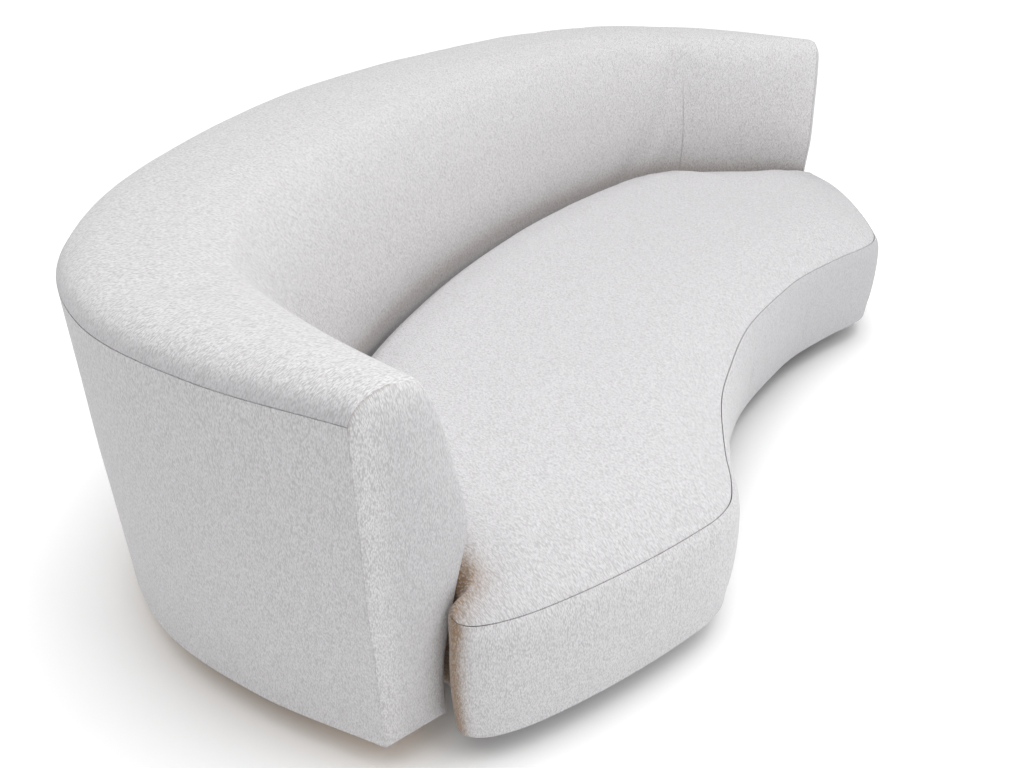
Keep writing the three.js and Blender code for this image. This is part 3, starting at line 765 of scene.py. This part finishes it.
def end_panel(side, share, beyond):
    """A padded panel over an arm's end, with its rim rolled into the seam. Beyond is a share of the wall
    further in, which tells which way the end faces."""
    clear_of_wall, kept_back = 0.0002, 0.002
    plumpness, plump_reach = 0.009, 0.065
    rim_darkness, rim_seam, held_flat, held_by_rim = 0.4, 0.0030, 0.002, 0.008
    hem_band = 0.004
    slope_from, slope_over, slope_height, slope_rise = 0.5, 0.1, 0.700, 0.015
    outline_steps, side_steps, rim_stride = 600, 200, 3
    # How strong the painted warm shade is down by the floor, and how far up it reaches
    warm_shade_amount, warm_shade_reach = 0.1, 0.20
    shade, inner_shade, shade_from, shade_reach = 0.1, 0.42, 0.01, 0.06
    inners, acrosses, widths = stations([share, beyond])
    inner, across, width = inners[0], acrosses[0], widths[0]
    facing = np.array([-across[1], across[0]])
    facing = facing * np.sign(facing @ (inners[0] - inners[1]))
    face = near_end(inner_outline(width, np.linspace(0, 1, outline_steps)), 0)
    top = int(np.argmax(face[:, 1]))
    outside = outer_outline(width, np.linspace(0, 1, side_steps))[::-1]
    rows = closer_at_ends(count=70, length=0.75, gaps=rim_lines)
    near_side = along(face[: top + 1], rows)
    far_side = along(np.vstack([outside, face[top:][::-1]]), rows)
    columns = closer_at_ends(count=18, length=0.16, gaps=rim_lines)
    flat = near_side[None] + (far_side - near_side)[None] * columns[:, None, None]
    rim = np.vstack([face, outside[::-1]])
    from_hem = flat[..., 1] - hem_height
    from_rim = distance_to(rim[::rim_stride], flat.reshape(-1, 2)).reshape(flat.shape[:2])
    from_rim = np.minimum(from_rim, from_hem)
    straight = end_round - end_cap_thickness
    back = np.clip(end_round - drawn_by(0) - from_rim, 0, end_round)
    rolled = (np.sqrt(end_round**2 - back**2) - straight) * (1 - kept_back / end_cap_thickness)
    reach = touch + clear_of_wall + rolled + plumpness * smooth_step(from_rim / plump_reach)
    plan = inner + across * flat[..., 0][..., None] + facing * reach[..., None]
    points = np.concatenate([plan, flat[..., 1][..., None]], axis=-1) + [0, centre_line, 0]
    on_slope = smooth_step((flat[..., 0] / width - slope_from) / slope_over)
    on_slope = on_slope * smooth_step((flat[..., 1] - slope_height) / slope_rise)
    darkness = rim_darkness + (1 - rim_darkness) * on_slope
    seam = near(np.where(from_hem < hem_band, 1, from_rim), rim_seam) * darkness
    held = near(np.maximum(from_rim - held_flat, 0), held_by_rim)
    piece = woven(f"end_panel_{side}", points, flat, held, seam)
    outward = sum(np.array(polygon.normal)[:2] @ facing for polygon in piece.data.polygons)
    if outward < 0:
        piece.data.flip_normals()
    stuffed(piece, pressure=2.0, most=0.003)
    settled(piece, unevenness=0.0008, grain=0.16, groove=0.0002)
    sharpen_rim(piece)
    places = places_of(piece.data)
    # Painted warm shade down by the floor, and painted shade that grows in from the outer edge and the top
    marked(piece, "painted_warm_shade", warm_shade_amount * near(places[:, 2], warm_shade_reach))
    across_from_outside = width - (places[:, :2] - [0, centre_line] - inner) @ across
    from_outside = np.minimum(across_from_outside, sofa_height - places[:, 2])
    marked(piece, "shade", shade + inner_shade * smooth_step((from_outside - shade_from) / shade_reach))
    backing = piece.modifiers.new("backing", "SOLIDIFY")
    backing.thickness = backing_thickness
    backing.offset = -1
    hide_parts(f"end_cap_{side}")
    dress(piece, chenille, levels=0)


end_panel("left", 0.0, 0.02)
end_panel("right", 1.0, 0.98)


# The seat

def ring_normals(ring, passes):
    """Inward directions of a closed outline, each blended with its neighbours'."""
    step = np.roll(ring, -1, axis=0) - np.roll(ring, 1, axis=0)
    normals = np.column_stack([-step[:, 1], step[:, 0]])
    normals /= np.linalg.norm(normals, axis=1)[:, None]
    for _ in range(passes):
        normals = 2 * normals + np.roll(normals, 1, axis=0) + np.roll(normals, -1, axis=0)
        normals /= np.linalg.norm(normals, axis=1)[:, None]
    return normals


lines_per_part = 5
front_parts = 64
back_parts = wall_stations - 2
front_lines = front_parts * lines_per_part
back_lines = back_parts * lines_per_part
blending_passes = 75
back_shares = np.linspace(1 / wall_stations, (back_parts + 1) / wall_stations, back_lines + 1)
crevice = along(crevice_line, back_shares)
crevice_step = np.gradient(crevice, axis=0)
crevice_step /= np.linalg.norm(crevice_step, axis=1)[:, None]
seat_back = crevice + np.column_stack([crevice_step[:, 1], -crevice_step[:, 0]]) * seat_gap
lobe_curve = both_halves(lobe_shares, seat_half_length, lobe_reach, crevice_reach)
seat_front = curve_through([seat_back[0], *lobe_curve, seat_back[-1]], np.linspace(0, 1, front_lines + 1))
seat_outline = np.vstack([seat_front, seat_back[1:-1][::-1]])
seat_inward = ring_normals(seat_outline, blending_passes)

# Where the seat meets the inner corner of an arm's end, on the right-hand side
arm_corner = [(1.170, -0.030), (1.192, -0.120)]
cushion_tip = (1.245, -0.118)
band_tip = (1.262, -0.150)
notch_hollow = [(1.187, -0.105), (1.196, -0.136), (1.222, -0.132)]


def on_the_right(flat):
    """The same places, with those of the left half mirrored to the right."""
    return np.column_stack([np.abs(flat[:, 0]), flat[:, 1]])


def by_corner(flat, reach, tip=cushion_tip):
    """1 where the seat meets the inner corners of the arms' ends, fading to 0 over the reach."""
    return near(distance_to(np.array([*arm_corner, tip]), on_the_right(flat)), reach)


def in_notch(flat, reach):
    """1 in the hollow of the seat's outline, round the inner corner of an arm's end."""
    return near(distance_to(np.array(notch_hollow), on_the_right(flat)), reach)


lift_reach = 0.022
fill_reach = 0.018
tight_reach = 0.050
seat_tight = by_corner(seat_outline, tight_reach)
seat_full = notch_fill * in_notch(seat_outline, fill_reach)
seat_lift = corner_rise * in_notch(seat_outline, lift_reach)


def seat_ring(inset):
    return seat_outline + seat_inward * (inset * (1 - corner_tightness * seat_tight) - seat_full)[:, None]


def seat_cushion():
    """The crowned top of the seat, over its foam."""
    front_darkness, back_darkness, bare_corner = 0.35, 0.15, 0.060
    held_flat, held_by_seam = 0.001, 0.007
    weave_turn = math.radians(67)
    shade = 0.36
    ring = seat_ring(seam_inset)
    left_tip, right_tip = np.argmin(ring[:, 0]), np.argmax(ring[:, 0])
    front = ring[left_tip : right_tip + 1]
    back = np.vstack([ring[: left_tip + 1][::-1], ring[right_tip:][::-1]])
    shares = closer_at_ends(count=230, length=3.6, gaps=[0.004, 0.012, 0.024])
    rows = closer_at_ends(count=60, length=0.9, gaps=[0.0015, 0.004, 0.008, 0.014, 0.022, 0.032])
    near_edge, far_edge = along(front, shares), along(back, shares)
    plan = near_edge[:, None] + (far_edge - near_edge)[:, None] * rows[None, :, None]
    flat = plan.reshape(-1, 2)
    from_front = distance_to(front, flat).reshape(plan.shape[:2])
    from_back = distance_to(back, flat).reshape(plan.shape[:2])
    inward = np.minimum(np.minimum(from_front / crown_roll, from_back / back_roll), 1)
    raised = corner_rise * in_notch(flat, lift_reach).reshape(plan.shape[:2])
    z = seam_height + raised + (crown_rise - raised) * (1 - (1 - inward) ** crown_power)
    points = np.concatenate([plan, z[..., None]], axis=-1) + [0, centre_line, 0]
    sine, cosine = math.sin(weave_turn), math.cos(weave_turn)
    x, y = plan[..., 0], plan[..., 1]
    weave = np.stack([x * sine - y * cosine, x * cosine + y * sine], axis=-1)
    at_front, at_back = near(from_front, seam_width), near(from_back, seam_width)
    seam = np.maximum(front_darkness * at_front, back_darkness * at_back)
    seam = seam * (1 - by_corner(flat, bare_corner).reshape(plan.shape[:2]))
    from_edge = np.minimum(from_front, from_back)
    held = near(np.maximum(from_edge - held_flat, 0), held_by_seam)
    piece = woven("seat_cushion", points, weave, held, seam)
    stuffed(piece, pressure=3.0, most=0.012)
    settled(piece, unevenness=0.0022, grain=0.26, groove=0.0010)
    close_below(piece, seam_height + crown_rise - cover_thickness - foam_thickness)
    # Painted warm shade by the left arm's end, and an even painted shade
    warm_shaded(piece, reach=0.040, tip=cushion_tip)
    marked(piece, "shade", shade)
    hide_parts("seat_cover", "seat_foam")
    dress(piece, chenille)


def warm_shaded(piece, reach, tip):
    """Marks the cloth between the seat's left tip and the arm's end with painted warm shade."""
    strength = 1.8
    flat = places_of(piece.data)[:, :2] - [0, centre_line]
    marked(piece, "painted_warm_shade", strength * by_corner(flat, reach, tip) * (flat[:, 0] < 0))


def in_order(parts):
    """Puts a mesh's faces or edges in one order, because an extrusion makes them in any order."""
    along_way = Vector((1, 10, 100))
    parts.sort(key=lambda part: sum(vert.co.dot(along_way) for vert in part.verts))


def close_below(piece, floor):
    """Steps the edge of the seat's top in behind the band at the arms' corners, carries it down to the deck
    and closes it there."""
    step_down, wall_top = 0.001, 0.012
    bm = bmesh.new()
    bm.from_mesh(piece.data)
    edges = [e for e in bm.edges if e.is_boundary]
    ring = seat_ring(seam_inset)
    for level in (step_down, wall_top, None):
        grown = bmesh.ops.extrude_edge_only(bm, edges=edges)["geom"]
        for vert in (v for v in grown if isinstance(v, bmesh.types.BMVert)):
            if level == step_down:
                spot = np.argmin(np.linalg.norm(ring - [vert.co.x, vert.co.y - centre_line], axis=1))
                tuck = corner_tightness * seam_inset * seat_tight[spot] + seat_full[spot]
                vert.co.x += seat_inward[spot][0] * tuck
                vert.co.y += seat_inward[spot][1] * tuck
            vert.co.z = floor if level is None else vert.co.z - level
        edges = [e for e in grown if isinstance(e, bmesh.types.BMEdge)]
    bmesh.ops.holes_fill(bm, edges=edges, sides=0)
    bmesh.ops.triangulate(bm, faces=[f for f in bm.faces if len(f.verts) > 4])
    bmesh.ops.recalc_face_normals(bm, faces=bm.faces[:])
    in_order(bm.edges)
    in_order(bm.faces)
    bm.to_mesh(piece.data)
    bm.free()
    piece.data.shade_smooth()


def seat_border():
    """The upright band round the seat: it rolls over at the top seam and turns in to its hem."""
    seam_overlap, cover_clear, hidden_inset = 0.001, 0.001, 0.002
    notch_thinning, thinning_reach = 0.4, 0.030
    top_darkness, held_by_seam = 0.35, 0.006
    left_shade, right_shade_more = 0.24, 0.5
    rows = closer_at_ends(count=26, length=0.26, gaps=[0.0015, 0.004, 0.008, 0.014])
    face = curve_through([(seam_inset - seam_overlap, seam_height),
                          (seam_inset * shoulder_share, seam_height - border_shoulder * shoulder_share),
                          (0, seam_height - border_shoulder),
                          (0, (seam_height + hem_height) / 2 - border_shoulder / 2),
                          (border_tuck, hem_height)], rows)
    under = seam_height - cover_thickness - cover_clear
    hidden = [(border_thickness, hem_height), (border_thickness, (hem_height + under) / 2),
              (border_thickness, under - border_shoulder * shoulder_share),
              (seam_inset - hidden_inset, under)]
    loop = np.array([*face, *hidden, face[0]])
    ring = np.arange(len(seat_outline) + 1) % len(seat_outline)
    on_face = np.arange(len(loop)) < len(face)
    shoulder = np.clip((loop[:, 1] - seam_height) / border_shoulder + 1, 0, 1)
    shoulder = np.where(on_face | (loop[:, 1] == under), shoulder, 0)
    tight = seat_tight[ring][:, None]
    thinner = notch_thinning * in_notch(seat_outline, thinning_reach)[ring][:, None] * ~on_face
    inset = loop[:, 0] * (1 - corner_tightness * tight * (shoulder * on_face > 0)) * (1 - thinner)
    inset = inset - seat_full[ring][:, None] * smooth_step(shoulder)
    plan = seat_outline[ring][:, None] + seat_inward[ring][:, None] * inset[..., None]
    z = loop[:, 1] + seat_lift[ring][:, None] * shoulder
    points = np.concatenate([plan, z[..., None]], axis=-1) + [0, centre_line, 0]
    points[:, -1] = points[:, 0]
    round_way = lengths_of(seat_outline[ring])
    travel = lengths_of(loop)
    weave = np.stack(np.broadcast_arrays(round_way[:, None], travel[None, :]), axis=-1)
    seam = np.where(on_face, top_darkness * near(travel, seam_width), 0)
    held = np.where(on_face & (loop[:, 1] > hem_height + held_by_seam), near(travel, held_by_seam), 1.0)
    piece = woven("seat_band", points, weave, np.broadcast_to(held, z.shape),
                  np.broadcast_to(seam, z.shape) * (1 - tight), crisp_rows=range(len(face), len(loop) - 1))
    stuffed(piece, pressure=2.0, most=0.004)
    settled(piece, unevenness=0.0012, grain=0.30, groove=0.0010)
    # Painted warm shade by the left arm's end, and painted shade that grows towards the right
    warm_shaded(piece, reach=0.018, tip=band_tip)
    x = places_of(piece.data)[:, 0]
    marked(piece, "shade", left_shade + right_shade_more * smooth_step(x + 0.5))
    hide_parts("seat_border", "seat_border_back")
    dress(piece, chenille, levels=1)


seat_cushion()
seat_border()


def seam_stitches():
    """Small stitches of thread along the seat's top seam, in front and round the lobes."""
    spacing, inside_seam, above_seam, loose_below = 0.0085, 0.0045, 0.0002, 0.05
    half_sizes = (0.0026, 0.0007, 0.0006)
    line = seat_ring(seam_inset + inside_seam)[: front_lines + 1]
    line = line[seat_tight[: front_lines + 1] < loose_below]
    spots = along(line, np.linspace(0, 1, int(lengths_of(line)[-1] / spacing)))
    bm = bmesh.new()
    for (x, y), (dx, dy) in zip(spots, np.gradient(spots, axis=0)):
        place = Matrix.Translation((x, y + centre_line, seam_height + above_seam))
        turn = Matrix.Rotation(math.atan2(dy, dx), 4, "Z")
        size = Matrix.Diagonal((*half_sizes, 1))
        bmesh.ops.create_icosphere(bm, subdivisions=1, radius=1, matrix=place @ turn @ size)
    piece = finished("seat_seam_stitches", bm)
    dress(piece, thread_finish(), levels=0)


seam_stitches()


# The frame's own pieces keep their shapes and get their finishes

plywood = plywood_finish()
hardboard = hardboard_finish()
timber = wood_finish("planed_pine", rgb(222, 190, 140), rgb(186, 142, 90), False, 0.65)
stained = wood_finish("dark_stained_wood", rgb(62, 47, 38), rgb(34, 25, 20), True, 0.5)
zinc = zinc_finish()
nylon = nylon_finish()
dust_cloth = dust_cloth_finish()
finishes = {"seat_deck": plywood, "front_rail": plywood, "rear_rail": plywood, "back_top_plate": plywood,
            "back_base_plate": plywood, "back_rib": plywood, "cross_beam": timber, "border_board": hardboard,
            "inner_board": hardboard, "outer_board": hardboard, "foot": stained, "glide": nylon,
            "joining_plate": zinc, "plate_bolt": zinc, "dust_cover": dust_cloth}
for name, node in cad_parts.items():
    for start, finish in finishes.items():
        if name.startswith(start):
            node.data.materials.clear()
            node.data.materials.append(finish)

sheet_area = sum(polygon.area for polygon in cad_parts["dust_cover"].data.polygons) / 2


# The floor, the light and the camera

def lay_floor():
    bm = bmesh.new()
    bmesh.ops.create_grid(bm, x_segments=2, y_segments=2, size=30)
    floor = finished("floor", bm)
    floor.data.materials.append(floor_finish())


def hang(name, lamp, place, way):
    """Hangs a lamp at a place, with its back turned along way."""
    light = bpy.data.objects.new(name, lamp)
    light.location = place
    light.rotation_mode = "QUATERNION"
    light.rotation_quaternion = way.to_track_quat("Z", "Y")
    scene.collection.objects.link(light)


def hang_sky_light(strength, azimuth, elevation, spread):
    """A very wide soft light far away. Azimuth is counted from the front, towards the right-hand side."""
    far_off = 6
    lamp = bpy.data.lights.new("sky_light", "SUN")
    lamp.energy = strength
    lamp.angle = math.radians(spread)
    a, e = math.radians(azimuth), math.radians(elevation)
    way = Vector((math.sin(a) * math.cos(e), -math.cos(a) * math.cos(e), math.sin(e)))
    hang("sky_light", lamp, way * far_off, way)


def hang_softbox(place, target, size, power):
    lamp = bpy.data.lights.new("softbox", "AREA")
    lamp.shape = "SQUARE"
    lamp.size = size
    lamp.energy = power
    hang("softbox", lamp, place, Vector(place) - Vector(target))


def set_camera():
    lens = bpy.data.cameras.new("camera")
    lens.lens = 35.59
    lens.sensor_width = 36
    lens.shift_x, lens.shift_y = -0.0085, 0.0023
    stands_at = (-2.2944, centre_line - 0.7881, 1.4673)
    yaw, pitch, roll = math.radians(26.7), math.radians(30.2), math.radians(-0.4)
    ahead = Vector((math.cos(yaw) * math.cos(pitch), math.sin(yaw) * math.cos(pitch), -math.sin(pitch)))
    right = Vector((math.sin(yaw), -math.cos(yaw), 0))
    up = right.cross(ahead)
    turned_right = right * math.cos(roll) - up * math.sin(roll)
    turned_up = right * math.sin(roll) + up * math.cos(roll)
    turned = Matrix((turned_right, turned_up, -ahead)).transposed().to_4x4()
    camera = bpy.data.objects.new("camera", lens)
    camera.matrix_world = Matrix.Translation(stands_at) @ turned
    scene.collection.objects.link(camera)
    scene.camera = camera


lay_floor()
hang_sky_light(strength=1.65, azimuth=180, elevation=80, spread=70)
hang_softbox(place=(-0.5, -1.8, 2.6), target=(0, 0, 0.4), size=2.2, power=37)
world = bpy.data.worlds.new("studio")
world.use_nodes = True
world.node_tree.nodes["Background"].inputs["Color"].default_value = (1, 1, 1, 1)
world.node_tree.nodes["Background"].inputs["Strength"].default_value = 0.38
scene.world = world
scene.view_settings.view_transform = "Standard"
set_camera()
